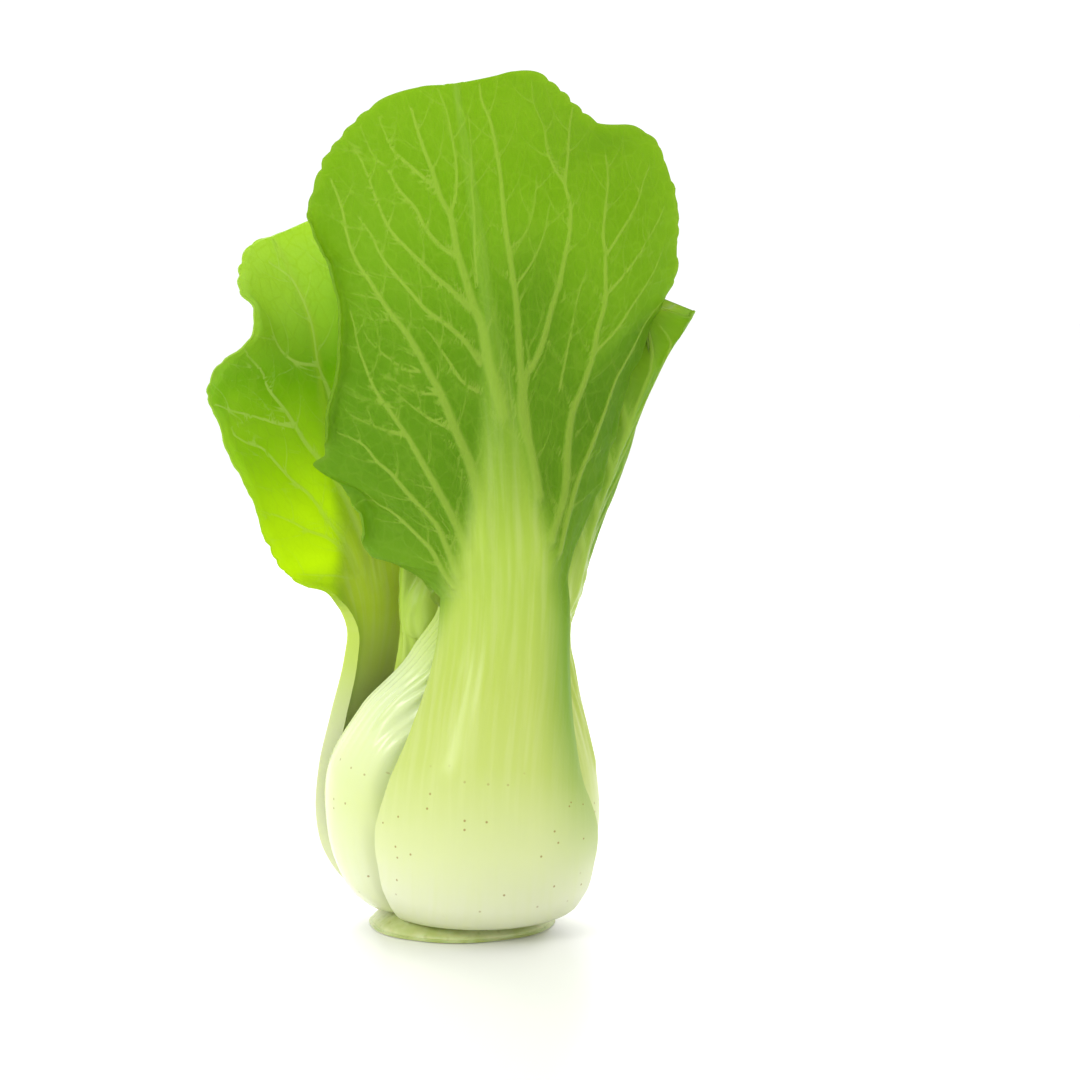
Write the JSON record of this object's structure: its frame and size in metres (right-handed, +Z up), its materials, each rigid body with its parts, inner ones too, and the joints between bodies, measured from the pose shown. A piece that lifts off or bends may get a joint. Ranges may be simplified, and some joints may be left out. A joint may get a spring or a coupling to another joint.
{
  "type": "bok choy",
  "caption": "Whole head of green-stemmed baby bok choy standing on its cut stump, with swollen overlapping stalks that open into broad waved leaves.",
  "frame": {"origin": "centre of the flat cut under the stump, on which the head stands", "axes": "+Z up the head to the leaf tips, -Y towards the front, where the tallest leaf grows, +X to the right seen from the front"},
  "size_m": [0.0967, 0.0587, 0.1735],
  "materials": {
    "leaf": null,
    "heart": null,
    "cut": null
  },
  "bodies": {
    "root": {"stump": "cut", "leaf_front": "leaf", "leaf_left": "leaf", "leaf_right": "leaf", "leaf_back": "leaf", "leaf_left_front": "leaf", "leaf_right_back": "leaf", "leaf_inner_left": "heart", "leaf_inner_right": "heart", "leaf_inner_back": "heart", "leaf_heart": "heart"}
  },
  "joints": []
}
